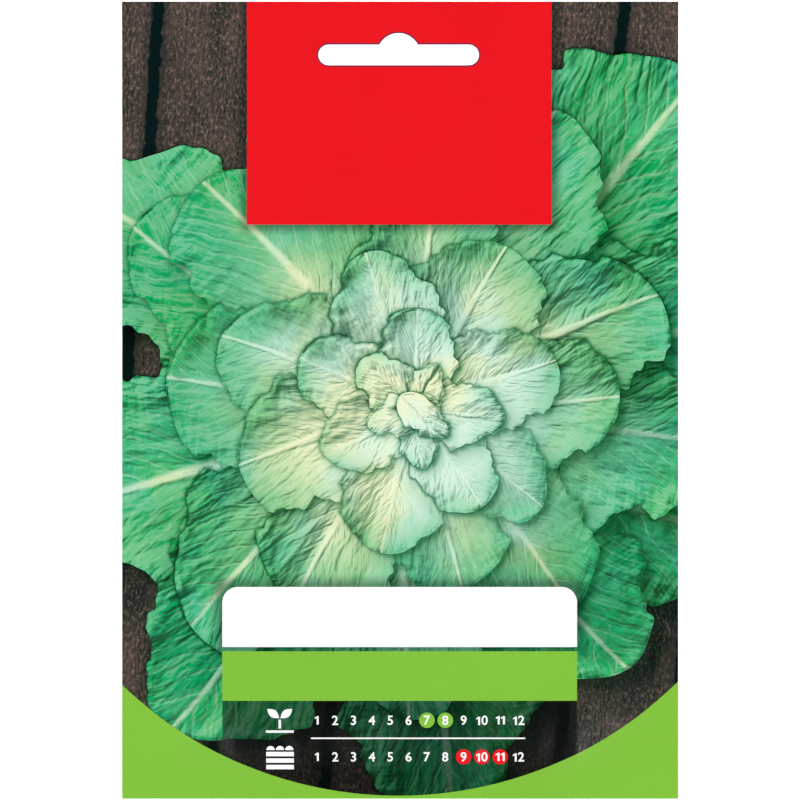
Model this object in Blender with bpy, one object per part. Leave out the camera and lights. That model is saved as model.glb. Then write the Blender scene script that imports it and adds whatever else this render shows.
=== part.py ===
"""Seed packet: two laminated paper webs, heat-sealed all round, with a charge of chicory seed inside.

The packet lies on its back web. X runs across it, Y runs up it towards the hang slot, and Z points
out of its front. The origin is the middle of the surface that it lies on. Metres.
"""

import math
import random

import bpy
import bmesh
from mathutils import Euler, Matrix, Vector

# The packet's outline and its webs
PACKET_WIDTH = 0.1107
PACKET_HEIGHT = 0.1586
WEB_THICKNESS = 0.0002
SEAL_GAP = 0.0001

# Seal bands, where the two webs are pressed together
SIDE_SEAL = 0.005
FOOT_SEAL = 0.006
HEAD_SEAL = 0.021

# How far the filled pouch swells, and how soon it does so from each seal
SEAL_HEIGHT = 0.0012
FRONT_SWELL = 0.0034
FRONT_SIDE_RUN = 0.022
FRONT_FOOT_RUN = 0.020
FRONT_HEAD_RUN = 0.085
BACK_RUN = 0.012
HEAD_CURL = 0.0010

# Hang slot: a long slot with a round bump over its middle, punched a little left of the packet's middle
SLOT_LENGTH = 0.0320
SLOT_WIDTH = 0.00410
SLOT_BUMP_RADIUS = 0.00433
SLOT_CENTRE_X = -0.0003
SLOT_BELOW_TOP = 0.01055
SLOT_ARC_STEPS = 10

# The seed: one real seed's size, and how the charge lies in the pouch
SEED_LENGTH = 0.0024
SEED_BASE_RADIUS = 0.00028
SEED_CROWN_RADIUS = 0.00062
SEED_SIDES = 5
SEED_TILT = math.radians(14)
SEED_SINK = 0.00022
BED_CLEAR_OF_WEB = 0.0008
BED_INSET = 0.010
BED_LENGTH = 0.104
BED_GRID = 0.0105
BED_SPACING_ABOVE = 0.0056
BED_SPACING_BELOW = 0.0082
BED_JITTER = 0.0016
SEED_DRAW = 11

# Widest steps of the webs' grid lines: where a web rises, where it lies level, and along the header
RISING_STEP = 0.0037
LEVEL_STEP_X = 0.0095
LEVEL_STEP_Y = 0.0075
HEADER_STEP = 0.0042

# How far the slot's punch reaches past the webs, each way
PUNCH_REACH = 0.004

HALF_WIDTH = PACKET_WIDTH / 2
HALF_HEIGHT = PACKET_HEIGHT / 2
POUCH_SIDE = HALF_WIDTH - SIDE_SEAL
POUCH_FOOT = -HALF_HEIGHT + FOOT_SEAL
POUCH_HEAD = HALF_HEIGHT - HEAD_SEAL
SLOT_CENTRE_Y = HALF_HEIGHT - SLOT_BELOW_TOP
BACK_SINK = SEAL_HEIGHT - SEAL_GAP / 2 - WEB_THICKNESS


def ramp(distance, run):
    """Rises from 0 at a seal, steeply at first, and levels off at 1 once distance reaches run."""
    share = min(max(distance / run, 0.0), 1.0)
    return math.sin(0.5 * math.pi * share)


def fullness(x, y, side_run, foot_run, head_run):
    """How far the pouch is open at a point, from 0 on every seal to 1 in the middle."""
    aside = ramp(POUCH_SIDE - abs(x), side_run)
    return aside * ramp(y - POUCH_FOOT, foot_run) * ramp(POUCH_HEAD - y, head_run)


def seam_height(y):
    """Height of the plane between the webs. The stiff header curls up a little towards its edge."""
    along = max(0.0, (y - POUCH_HEAD) / HEAD_SEAL)
    return SEAL_HEIGHT + HEAD_CURL * along**2


def front_inside(x, y):
    swell = FRONT_SWELL * fullness(x, y, FRONT_SIDE_RUN, FRONT_FOOT_RUN, FRONT_HEAD_RUN)
    return seam_height(y) + SEAL_GAP / 2 + swell


def back_inside(x, y):
    sink = BACK_SINK * fullness(x, y, BACK_RUN, BACK_RUN, BACK_RUN)
    return seam_height(y) - SEAL_GAP / 2 - sink


def front_outside(x, y):
    return front_inside(x, y) + WEB_THICKNESS


def spaced(start, end, step):
    """Values from start to end, evenly spaced at about step, with start left out."""
    count = max(1, round(abs(end - start) / step))
    return [start + (end - start) * (i + 1) / count for i in range(count)]


def columns():
    """Grid lines across the packet: each edge, each seal's inner edge, closer where the web rises."""
    rise_end = POUCH_SIDE - FRONT_SIDE_RUN
    level = spaced(0.0, rise_end, LEVEL_STEP_X)
    right = [0.0, *level, *spaced(rise_end, POUCH_SIDE, RISING_STEP), HALF_WIDTH]
    return [-x for x in reversed(right[1:])] + right


def rows():
    """Grid lines up the packet, from its foot to its top edge."""
    rise_end = POUCH_FOOT + FRONT_FOOT_RUN
    rising = [-HALF_HEIGHT, POUCH_FOOT, *spaced(POUCH_FOOT, rise_end, RISING_STEP)]
    level = spaced(rise_end, POUCH_HEAD, LEVEL_STEP_Y)
    return rising + level + spaced(POUCH_HEAD, HALF_HEIGHT, HEADER_STEP)


def material(name, colour, roughness):
    made = bpy.data.materials.new(name)
    made.use_nodes = True
    shader = made.node_tree.nodes["Principled BSDF"]
    shader.inputs["Base Color"].default_value = (*colour, 1.0)
    shader.inputs["Roughness"].default_value = roughness
    shader.inputs["Metallic"].default_value = 0.0
    return made


def placed(name, mesh, finish=None):
    if finish:
        mesh.materials.append(finish)
    obj = bpy.data.objects.new(name, mesh)
    bpy.context.scene.collection.objects.link(obj)
    return obj


def sheet(name, x_lines, y_lines, top, thickness, finish):
    """A closed sheet over a grid: top(x, y) gives its upper face, thickness(x, y) how deep it goes."""
    shape = bmesh.new()
    grid = [[shape.verts.new((x, y, top(x, y))) for x in x_lines] for y in y_lines]
    for lower, upper in zip(grid, grid[1:]):
        for a, b, c, d in zip(lower, lower[1:], upper[1:], upper):
            shape.faces.new((a, b, c, d))
    under = bmesh.ops.extrude_face_region(shape, geom=shape.faces[:])["geom"]
    for vert in under:
        if isinstance(vert, bmesh.types.BMVert):
            vert.co.z -= thickness(vert.co.x, vert.co.y)
    bmesh.ops.triangulate(shape, faces=shape.faces[:])
    bmesh.ops.recalc_face_normals(shape, faces=shape.faces[:])
    mesh = bpy.data.meshes.new(name)
    shape.to_mesh(mesh)
    shape.free()
    return placed(name, mesh, finish)


def arc(centre, radius, start, end, steps):
    """Points on an arc between two angles in radians, both ends included."""
    turns = [start + (end - start) * i / steps for i in range(steps + 1)]
    return [(centre[0] + radius * math.cos(t), centre[1] + radius * math.sin(t)) for t in turns]


def slot_outline():
    """The hang slot's outline, anticlockwise from its lower right corner."""
    end_radius = SLOT_WIDTH / 2
    end_x = SLOT_LENGTH / 2 - end_radius
    quarter = math.pi / 2
    meets = math.asin(end_radius / SLOT_BUMP_RADIUS)
    right_end = (SLOT_CENTRE_X + end_x, SLOT_CENTRE_Y)
    left_end = (SLOT_CENTRE_X - end_x, SLOT_CENTRE_Y)
    right = arc(right_end, end_radius, -quarter, quarter, SLOT_ARC_STEPS)
    bump = arc((SLOT_CENTRE_X, SLOT_CENTRE_Y), SLOT_BUMP_RADIUS, meets, math.pi - meets, SLOT_ARC_STEPS)
    left = arc(left_end, end_radius, quarter, 3 * quarter, SLOT_ARC_STEPS)
    return right + bump + left


def slot_cutter():
    """A punch of the slot's outline, longer than both webs are thick. It is a tool, not a piece."""
    shape = bmesh.new()
    low = seam_height(SLOT_CENTRE_Y) - PUNCH_REACH
    base = shape.faces.new([shape.verts.new((x, y, low)) for x, y in slot_outline()])
    raised = bmesh.ops.extrude_face_region(shape, geom=[base])["geom"]
    moved = [v for v in raised if isinstance(v, bmesh.types.BMVert)]
    bmesh.ops.translate(shape, verts=moved, vec=Vector((0.0, 0.0, 2 * PUNCH_REACH)))
    bmesh.ops.recalc_face_normals(shape, faces=shape.faces[:])
    mesh = bpy.data.meshes.new("slot_punch")
    shape.to_mesh(mesh)
    shape.free()
    punch = placed("slot_punch", mesh)
    punch.hide_render = True
    punch.display_type = "WIRE"
    return punch


def cut_slot(web, punch):
    cut = web.modifiers.new("hang slot", "BOOLEAN")
    cut.operation = "DIFFERENCE"
    cut.solver = "EXACT"
    cut.object = punch


def seed_mesh():
    """One achene: a blunt, angular wedge, narrow at its base and cut off square at its crown."""
    shape = bmesh.new()
    bmesh.ops.create_cone(
        shape,
        cap_ends=True,
        segments=SEED_SIDES,
        radius1=SEED_BASE_RADIUS,
        radius2=SEED_CROWN_RADIUS,
        depth=SEED_LENGTH,
    )
    mesh = bpy.data.meshes.new("seed")
    shape.to_mesh(mesh)
    shape.free()
    return mesh


def bed_top(x, y):
    return front_inside(x, y) - BED_CLEAR_OF_WEB


def bed_bottom(x, y):
    return back_inside(x, y) + BED_CLEAR_OF_WEB


def bed_points(draw, spacing):
    """Seed places over the bed: staggered rows, each seed moved a little by chance."""
    side = POUCH_SIDE - BED_INSET - SEED_LENGTH / 2
    foot = POUCH_FOOT + BED_INSET + SEED_LENGTH / 2
    head = foot + BED_LENGTH - SEED_LENGTH
    for row, y in enumerate([foot, *spaced(foot, head, spacing)]):
        shift = spacing / 2 * (row % 2)
        for x in [-side, *spaced(-side, side, spacing)]:
            place = Vector((x + shift, y, 0.0))
            place += Vector((draw.uniform(-1, 1), draw.uniform(-1, 1), 0.0)) * BED_JITTER
            if abs(place.x) < side and foot < place.y < head:
                yield place


def lay_seeds(collection, draw, mesh, spacing, height):
    """Seeds lying half in the bed's face, each turned and tilted its own way."""
    for place in bed_points(draw, spacing):
        tilt = math.pi / 2 + draw.uniform(-SEED_TILT, SEED_TILT)
        lying = Euler((tilt, 0.0, draw.uniform(0, math.tau))).to_matrix()
        rolled = lying @ Matrix.Rotation(draw.uniform(0, math.tau), 3, "Z")
        place.z = height(place.x, place.y)
        seed = bpy.data.objects.new("seed", mesh)
        seed.matrix_world = Matrix.Translation(place) @ rolled.to_4x4()
        collection.objects.link(seed)


def seed_charge(finish):
    """The seed in the pouch: a bed with single seeds standing out of both its faces, as one solid."""
    side = POUCH_SIDE - BED_INSET
    foot = POUCH_FOOT + BED_INSET
    bed = sheet(
        "seed_charge",
        [-side, *spaced(-side, side, BED_GRID)],
        [foot, *spaced(foot, foot + BED_LENGTH, BED_GRID)],
        bed_top,
        lambda x, y: bed_top(x, y) - bed_bottom(x, y),
        finish,
    )
    loose = bpy.data.collections.new("loose seed")
    bpy.context.scene.collection.children.link(loose)
    draw = random.Random(SEED_DRAW)
    mesh = seed_mesh()
    lay_seeds(loose, draw, mesh, BED_SPACING_ABOVE, lambda x, y: bed_top(x, y) - SEED_SINK)
    lay_seeds(loose, draw, mesh, BED_SPACING_BELOW, lambda x, y: bed_bottom(x, y) + SEED_SINK)
    join = bed.modifiers.new("join seed", "BOOLEAN")
    join.operation = "UNION"
    join.solver = "EXACT"
    join.operand_type = "COLLECTION"
    join.collection = loose
    bpy.context.view_layer.update()
    depsgraph = bpy.context.evaluated_depsgraph_get()
    joined = bpy.data.meshes.new_from_object(bed.evaluated_get(depsgraph))
    bed.modifiers.clear()
    bed.data = joined
    for seed in list(loose.objects):
        bpy.data.objects.remove(seed)
    bpy.data.collections.remove(loose)
    return bed


def main():
    for obj in list(bpy.data.objects):
        bpy.data.objects.remove(obj)
    front_finish = material("printed laminate", (0.10, 0.42, 0.19), 0.35)
    back_finish = material("back laminate", (0.80, 0.82, 0.74), 0.45)
    seed_finish = material("chicory seed", (0.32, 0.22, 0.12), 0.75)
    punch = slot_cutter()
    front = sheet("front_web", columns(), rows(), front_outside, lambda x, y: WEB_THICKNESS, front_finish)
    back = sheet("back_web", columns(), rows(), back_inside, lambda x, y: WEB_THICKNESS, back_finish)
    for web in (front, back):
        cut_slot(web, punch)
    seed_charge(seed_finish)


main()
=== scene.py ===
"""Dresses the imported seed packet: its printed front and back, the seed inside it and a pale studio.

Sizes are in metres, in the packet's own frame: X across it, Y up to the hang slot, Z out of its front.
"""

import math
import random

import bmesh
import bpy
import numpy as np
from bpy.props import FloatProperty, FloatVectorProperty, IntProperty, PointerProperty
from mathutils import Euler, Matrix, Vector, geometry, kdtree


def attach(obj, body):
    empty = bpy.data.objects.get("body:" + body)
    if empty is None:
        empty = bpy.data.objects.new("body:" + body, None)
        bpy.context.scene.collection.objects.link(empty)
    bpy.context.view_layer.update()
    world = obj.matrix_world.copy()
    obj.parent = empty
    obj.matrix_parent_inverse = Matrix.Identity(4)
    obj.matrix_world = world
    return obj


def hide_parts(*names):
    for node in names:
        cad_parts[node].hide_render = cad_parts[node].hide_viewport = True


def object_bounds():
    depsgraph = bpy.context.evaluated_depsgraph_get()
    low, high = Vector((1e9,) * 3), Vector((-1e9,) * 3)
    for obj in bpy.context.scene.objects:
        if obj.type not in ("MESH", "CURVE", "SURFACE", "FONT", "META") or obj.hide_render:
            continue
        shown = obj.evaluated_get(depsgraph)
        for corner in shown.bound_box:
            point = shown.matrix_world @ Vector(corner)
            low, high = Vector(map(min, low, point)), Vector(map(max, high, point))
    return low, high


bl_info = {
    "name": "Seed packet dressing",
    "version": (1, 0, 0),
    "blender": (4, 5, 0),
    "location": "View3D > Sidebar > Seed packet",
    "description": "Builds the printed webs and the seed of a seed packet, and its studio",
    "category": "Object",
}

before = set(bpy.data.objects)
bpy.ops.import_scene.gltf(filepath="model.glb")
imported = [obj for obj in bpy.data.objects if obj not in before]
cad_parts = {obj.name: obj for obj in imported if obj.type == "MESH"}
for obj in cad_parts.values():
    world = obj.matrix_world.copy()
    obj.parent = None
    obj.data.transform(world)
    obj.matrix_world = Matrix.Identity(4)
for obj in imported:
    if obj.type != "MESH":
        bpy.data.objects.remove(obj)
CAD_LOW, CAD_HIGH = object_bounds()
PACKET_WIDTH = CAD_HIGH.x - CAD_LOW.x
PACKET_HEIGHT = CAD_HIGH.y - CAD_LOW.y

MM = 0.001
GOLDEN_ANGLE = math.pi * (3 - math.sqrt(5))
NODE_COLUMN = 190

# The months marked with discs, counted from 0 for the first
SOWING_MONTHS = (6, 7)
HARVEST_MONTHS = (8, 9, 10)

# Each wave of a leaf's edge: its fewest and its most turns, and its height as a share of the half width
EDGE_WAVES = ((1.6, 2.8, 0.070), (4.5, 7.0, 0.050), (10, 15, 0.026), (22, 30, 0.010))

# A leaf's width at its foot, as a share of its full width, and how far along the leaf is widest
LEAF_FOOT_WIDTH = 0.20
LEAF_WIDEST_AT = 0.62

# How far into the rosette the folded leaves of its heart start
HEART_FROM = 0.78

# The picture's light, and the step towards it that tells a leaf's slope, in millimetres
TOWARDS_LIGHT = (-0.7, 0.7)
LIGHT_STEP = (-0.25, 0.25, 0.0)
LIGHT_STEP_LENGTH = 0.354

# How much of the picture's light comes from above, and how much from its side
LIGHT_ABOVE = 0.78
LIGHT_ASIDE = 0.68

# The boards behind the leaves, in millimetres and degrees
BOARD_WIDTH = 23.0
BOARD_SLANT = 5.0

# The spacing of a web's unprinted side, and the angle past which its edges stay sharp
PLAIN_GRID = 2.6 * MM
WEB_SHARP = math.radians(50)

# Shares of a net's spacing: the room kept free round its lines, and the height of a row
CLEAR_OF_LINES = 0.42
ROW_HEIGHT = 0.87

# A web's flat map: its name, and the low corner and size of its printed side, its plain side and its rim
BAKE_MAP = "OFBake"
MAP_PARTS = (((0.01, 0.01), (0.73, 0.98)), ((0.76, 0.01), (0.23, 0.36)), ((0.76, 0.39), (0.23, 0.60)))

# The rim's part of that map: its columns of cells, and a rim face's corners in its cell
RIM_COLUMNS = 20
RIM_CELL = ((0.1, 0.1), (0.1, 0.9), (0.9, 0.9), (0.9, 0.1))

# Colours of the picture's shadows, its dark panel and its gleams, and of the inner film, all linear
SHADOW_TINT = (0.13, 0.42, 0.27)
DEEP_SHADOW_TINT = (0.07, 0.30, 0.19)
PRINTED_SHADOW = (0.0, 0.012, 0.008)
PANEL_INK = (0.0004, 0.0010, 0.0007)
LEAF_GLEAM = (0.76, 0.86, 0.70)
FILM_THIN = (0.66, 0.67, 0.66)
FILM_THICK = (0.74, 0.75, 0.73)

# How much the dark panel hides of the picture under it
PANEL_STRENGTH = 0.77

# The webs' materials, in the order of their slots
PLAIN_INKS = [f"{name} ink" for name in ("red", "white", "lime", "keyline", "back")]
WEB_SLOTS = ["leaf print", "board print", *PLAIN_INKS, "paper edge", "inner film"]


def shade_of(red, green, blue):
    """A colour given as 0 to 255 on screen, as the linear colour that shaders take."""
    scaled = [level / 255 for level in (red, green, blue)]
    return tuple(c / 12.92 if c <= 0.04045 else ((c + 0.055) / 1.055) ** 2.4 for c in scaled)


def size_of(name, description, millimetres):
    default = millimetres * MM
    return FloatProperty(name=name, description=description, default=default, unit="LENGTH", precision=5)


def colour_of(name, description, *levels):
    return FloatVectorProperty(
        name=name, description=description, default=shade_of(*levels), subtype="COLOR", size=3, min=0, max=1
    )


class WebSizes(bpy.types.PropertyGroup):
    """How the two webs lie, the same as in the packet's source."""

    thickness: size_of("Web thickness", "Thickness of each laminated web", 0.2)
    seal_gap: size_of("Seal gap", "Space left between the webs along the seals", 0.1)
    side_seal: size_of("Side seal", "Width of each side seal", 5)
    foot_seal: size_of("Foot seal", "Height of the seal at the foot", 6)
    head_seal: size_of("Head seal", "Height of the sealed header", 21)
    seal_height: size_of("Seal height", "Height of the seals above the surface", 1.2)
    swell: size_of("Front swell", "How far the seed pushes the front out", 3.4)
    side_run: size_of("Side run", "How far in from the side seals the front levels off", 22)
    foot_run: size_of("Foot run", "How far up from the foot seal the front levels off", 20)
    head_run: size_of("Head run", "How far down from the header the front levels off", 85)
    back_run: size_of("Back run", "How far in from each seal the back levels off", 12)
    head_curl: size_of("Header curl", "How far the header's top edge curls up", 1)
    pucker: size_of("Pucker", "Height of the small waves that the seals draw into the front", 0.11)
    slot_length: size_of("Slot length", "Length of the hang slot", 32)
    slot_width: size_of("Slot width", "Width of the hang slot", 4.10)
    slot_bump: size_of("Slot bump", "Radius of the bump over the slot's middle", 4.33)
    slot_middle: size_of("Slot middle", "Middle of the slot, across the packet", -0.3)
    slot_drop: size_of("Slot drop", "From the top edge to the slot's middle line", 10.55)


class FieldSizes(bpy.types.PropertyGroup):
    """Where the printed fields of the front lie."""

    keyline: size_of("Keyline", "Width of the thin line round the hang slot", 0.30)
    middle: size_of("Middle line", "Middle of the printed fields, across the packet", -0.1)
    block_middle: size_of("Block middle", "Middle of the red block, across the packet", -0.18)
    block_half: size_of("Block half width", "Half the width of the red block", 30.32)
    block_foot: size_of("Block foot", "Lower edge of the red block", 34.94)
    field_half: size_of("Label half width", "Half the width of the label, the band and the panel", 35.2)
    label_top: size_of("Label top", "Upper edge of the white label", -37.0)
    label_foot: size_of("Label foot", "Lower edge of the white label", -48.93)
    label_corner: size_of("Label corner", "Radius of the label's upper corners", 3.1)
    band_top: size_of("Band top", "Upper edge of the lime band", -49.76)
    band_foot: size_of("Band foot", "Lower edge of the lime band", -59.62)
    arc_radius: size_of("Foot arc", "Radius of the arc over the lime foot", 79.6)
    arc_middle: size_of("Foot arc middle", "Middle of the arc, across the packet", -0.37)
    arc_centre: size_of("Foot arc centre", "Height of the arc's centre", 0.9)
    month_start: size_of("First month", "Middle of the first month number", -16.56)
    month_step: size_of("Month spacing", "From one month number to the next", 3.646)
    month_height: size_of("Month height", "Size of the month numbers", 2.62)
    sow_row: size_of("Sowing row", "Middle of the row of sowing months", -63.52)
    rule_row: size_of("Rule", "Middle of the rule between the rows", -67.15)
    pick_row: size_of("Harvest row", "Middle of the row of harvest months", -70.92)
    disc_radius: size_of("Month disc", "Radius of a marked month's disc", 1.55)
    rule_half: size_of("Rule half height", "Half the thickness of the rule", 0.15)
    rule_before: size_of("Rule start", "How far the rule starts before the first month's middle", 1.18)
    rule_after: size_of("Rule end", "How far the rule runs past the last month's middle", 1.32)
    sign_middle: size_of("Signs", "Middle of the sowing and harvest signs", -23.9)
    sign_scale: FloatProperty(name="Sign scale", description="Size of the two signs", default=1.2)
    grid: size_of("Print grid", "Spacing of the printed face's points", 0.95)


class BackSizes(bpy.types.PropertyGroup):
    """Where the printed fields of the back lie."""

    strip_top: size_of("Strip top", "Upper edge of the lime strip", 61.8)
    strip_foot: size_of("Strip foot", "Lower edge of the lime strip", 57.3)
    box_half: size_of("Box half width", "Half the width of the framed boxes", 43.2)
    box_corner: size_of("Box corner", "Radius of the boxes' corners", 3.1)
    line: size_of("Box line", "Width of the boxes' frames", 0.35)
    upper_top: size_of("Upper box top", "Upper edge of the upper box", 48)
    upper_foot: size_of("Upper box foot", "Lower edge of the upper box", -8)
    lower_top: size_of("Lower box top", "Upper edge of the lower box", -13)
    lower_foot: size_of("Lower box foot", "Lower edge of the lower box", -48)
    grid: size_of("Back grid", "Spacing of the back's points", 1.6)


class LeafSizes(bpy.types.PropertyGroup):
    """The rosette of leaves in the printed picture."""

    count: IntProperty(name="Leaves", description="Leaves in the rosette", default=40, min=6, max=60)
    draw: IntProperty(name="Leaf draw", description="Picks the rosette's chance turns and sizes", default=7)
    centre_x: size_of("Rosette across", "Middle of the rosette, across the packet", 3)
    centre_y: size_of("Rosette up", "Middle of the rosette, up the packet", -2)
    longest: size_of("Longest leaf", "Length of the outermost leaf", 102)
    shortest: size_of("Shortest leaf", "Length of the innermost leaf", 13)


class SeedSizes(bpy.types.PropertyGroup):
    """The seed in the pouch."""

    length: size_of("Seed length", "Length of one seed", 2.4)
    crown: size_of("Seed crown", "Radius of a seed at its wide end", 0.62)
    inset: size_of("Seed inset", "How far the seed stays in from the seals", 10)
    bed_length: size_of("Seed height", "How far the seed reaches up the pouch", 104)
    clear: size_of("Seed clearance", "From the seed bed to the webs", 0.8)
    spacing: size_of("Seed spacing", "From one seed to the next", 2.3)
    draw: IntProperty(name="Seed draw", description="Picks the seeds' chance places and turns", default=7)


class StageSettings(bpy.types.PropertyGroup):
    """The studio: how the camera stands and how bright it is."""

    lens: FloatProperty(name="Lens", description="The camera's focal length", default=200, unit="CAMERA")
    view_width: size_of("View width", "Width of the camera's view at the packet", 159.3)
    view_x: size_of("View across", "Middle of the camera's view, across the packet", -0.03)
    view_y: size_of("View up", "Middle of the camera's view, up the packet", 0.07)
    key_power: FloatProperty(name="Key light", description="Power of a softbox", default=5.85, unit="POWER")
    table_glow: FloatProperty(name="Table glow", description="How brightly the table shines", default=0.5)
    softbox_size: size_of("Softbox", "Side of a softbox", 800)
    softbox_distance: size_of("Softbox distance", "From the packet to a softbox", 1100)
    softbox_rise: FloatProperty(
        name="Softbox rise",
        description="Angle of the softboxes above the table",
        default=math.radians(34),
        subtype="ANGLE",
    )


class PacketColours(bpy.types.PropertyGroup):
    """The inks of the front and the back."""

    red: colour_of("Red", "The block round the hang slot", 229, 22, 31)
    white: colour_of("White", "The label and the numbers", 247, 247, 246)
    lime: colour_of("Lime", "The band and the foot", 127, 188, 60)
    keyline: colour_of("Keyline", "The line round the hang slot", 128, 38, 74)
    leaf_deep: colour_of("Deep leaf", "The leaves' deepest green", 10, 160, 92)
    leaf_bright: colour_of("Bright leaf", "The leaves' usual green", 62, 176, 118)
    leaf_pale: colour_of("Pale leaf", "Where a leaf thins towards its rib", 168, 214, 172)
    cream: colour_of("Cream", "The ribs and the heart", 224, 235, 205)
    board: colour_of("Board", "The boards' usual brown", 88, 74, 66)
    board_dark: colour_of("Dark board", "The boards' dark streaks", 42, 44, 42)
    board_fleck: colour_of("Board fleck", "The boards' pale flecks", 134, 112, 102)
    board_seam: colour_of("Board seam", "The gaps between boards", 3, 22, 21)
    paper: colour_of("Paper", "The cut edges and the inside", 238, 236, 228)
    back: colour_of("Back", "The back of the packet", 236, 238, 226)
    seed_dark: colour_of("Dark seed", "The seeds' ribs", 96, 74, 50)
    seed_pale: colour_of("Pale seed", "The seeds' pale sides", 176, 150, 112)
    floor: colour_of("Floor", "The studio's floor", 247, 247, 247)


class PacketSettings(bpy.types.PropertyGroup):
    """All settings of the seed packet."""

    web: PointerProperty(type=WebSizes)
    fields: PointerProperty(type=FieldSizes)
    back: PointerProperty(type=BackSizes)
    leaf: PointerProperty(type=LeafSizes)
    seed: PointerProperty(type=SeedSizes)
    stage: PointerProperty(type=StageSettings)
    colours: PointerProperty(type=PacketColours)


def settings():
    """The packet's settings, as the panel shows them."""
    return bpy.context.scene.seed_packet


def placed(name, data):
    """A new object in the scene that holds a mesh, a curve, a light or a camera."""
    made = bpy.data.objects.new(name, data)
    bpy.context.scene.collection.objects.link(made)
    return made


def search_tree(points):
    """A tree that finds the nearest of some points of the packet's face."""
    tree = kdtree.KDTree(len(points))
    for i, point in enumerate(points):
        tree.insert((*point, 0.0), i)
    tree.balance()
    return tree


# The webs' form, as the packet's source has it


def ramp(distance, run):
    """Rises from 0 at a seal, steeply at first, and levels off at 1 once distance reaches run."""
    return np.sin(0.5 * np.pi * np.clip(distance / run, 0.0, 1.0))


def smooth(low, high, value):
    """Eases from 0 at low to 1 at high."""
    share = np.clip((value - low) / (high - low), 0.0, 1.0)
    return share * share * (3 - 2 * share)


def fullness(points, side_run, foot_run, head_run):
    """How far the pouch is open at each point, from 0 on every seal to 1 in the middle."""
    web = settings().web
    aside = ramp(PACKET_WIDTH / 2 - web.side_seal - np.abs(points[:, 0]), side_run)
    below = ramp(points[:, 1] + PACKET_HEIGHT / 2 - web.foot_seal, foot_run)
    above = ramp(PACKET_HEIGHT / 2 - web.head_seal - points[:, 1], head_run)
    return aside * below * above


def seam_height(points):
    web = settings().web
    along = np.maximum(0.0, (points[:, 1] - PACKET_HEIGHT / 2 + web.head_seal) / web.head_seal)
    return web.seal_height + web.head_curl * along**2


def front_inside(points):
    web = settings().web
    swell = web.swell * fullness(points, web.side_run, web.foot_run, web.head_run)
    return seam_height(points) + web.seal_gap / 2 + swell


def beside(distance, reach):
    """0 on a seal, 1 a little way in from it, and 0 again past reach."""
    return np.sin(np.pi * np.clip(distance / reach, 0.0, 1.0) ** 0.6)


def ripple(along, wavelength, start):
    """An uneven wave along a seal, between -1 and 1."""
    turns = math.tau * along / wavelength
    return 0.6 * np.sin(turns + start) + 0.4 * np.sin(1.63 * turns + 2.1 * start)


def puckers(points):
    """The small waves that the seals draw into the front web."""
    web = settings().web
    x, y = points.T
    aside = PACKET_WIDTH / 2 - web.side_seal - np.abs(x)
    below = y + PACKET_HEIGHT / 2 - web.foot_seal
    above = PACKET_HEIGHT / 2 - web.head_seal - y
    sides = beside(aside, 15 * MM) * ripple(y, 12 * MM, 1.3 + np.sign(x))
    foot = beside(below, 13 * MM) * ripple(x, 11 * MM, 0.4)
    head = beside(above, 20 * MM) * ripple(x, 16 * MM, 2.6)
    inside_seals = ramp(aside, 5 * MM) * ramp(below, 5 * MM) * ramp(above, 5 * MM)
    return web.pucker * inside_seals * (sides + foot + head)


def front_outside(points):
    return front_inside(points) + settings().web.thickness + puckers(points)


def back_outside(points):
    return back_inside(points) - settings().web.thickness


def back_inside(points):
    web = settings().web
    deepest = web.seal_height - web.seal_gap / 2 - web.thickness
    sink = deepest * fullness(points, web.back_run, web.back_run, web.back_run)
    return seam_height(points) - web.seal_gap / 2 - sink


# Flat outlines, as lists of points in order


def arc(centre, radius, start, end, step):
    """Points on an arc, both ends included, about step apart."""
    count = max(2, math.ceil(abs(end - start) * radius / step))
    turns = [start + (end - start) * i / count for i in range(count + 1)]
    return [(centre[0] + radius * math.cos(t), centre[1] + radius * math.sin(t)) for t in turns]


def corner_arc(x, y, radius, quarter, step):
    """A round corner about x, y. Quarter 0 is the upper right one, and the next are anticlockwise."""
    return arc((x, y), radius, quarter * math.pi / 2, (quarter + 1) * math.pi / 2, step)


def split(points, step, closed=True):
    """The same outline with points added, so that none is more than step from the next."""
    found = []
    ends = points[1:] + points[:1] if closed else points[1:]
    for start, end in zip(points, ends):
        count = max(1, math.ceil(math.dist(start, end) / step))
        found += [
            (start[0] + (end[0] - start[0]) * i / count, start[1] + (end[1] - start[1]) * i / count)
            for i in range(count)
        ]
    return found if closed else found + [points[-1]]


def rectangle(left, right, low, high):
    return [(left, low), (right, low), (right, high), (left, high)]


def packet_outline():
    return rectangle(-PACKET_WIDTH / 2, PACKET_WIDTH / 2, -PACKET_HEIGHT / 2, PACKET_HEIGHT / 2)


def slot_outline(grow=0.0):
    """The hang slot's outline, anticlockwise, made larger all round by grow."""
    web = settings().web
    step = 0.4 * MM
    end_radius = web.slot_width / 2 + grow
    end_x = web.slot_length / 2 - web.slot_width / 2
    bump = web.slot_bump + grow
    x = web.slot_middle
    y = PACKET_HEIGHT / 2 - web.slot_drop
    quarter = math.pi / 2
    meets = math.asin(end_radius / bump)
    right = arc((x + end_x, y), end_radius, -quarter, quarter, step)
    middle = arc((x, y), bump, meets, math.pi - meets, step)
    left = arc((x - end_x, y), end_radius, quarter, 3 * quarter, step)
    return split(right + middle + left, 1.0 * MM)


def label_outline():
    """The white label: square at its foot, with rounded upper corners."""
    sizes = settings().fields
    left = sizes.middle - sizes.field_half
    right = sizes.middle + sizes.field_half
    corner = sizes.label_corner
    high = sizes.label_top - corner
    top_right = corner_arc(right - corner, high, corner, 0, 0.3 * MM)
    top_left = corner_arc(left + corner, high, corner, 1, 0.3 * MM)
    return [(left, sizes.label_foot), (right, sizes.label_foot), *top_right, *top_left]


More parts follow.
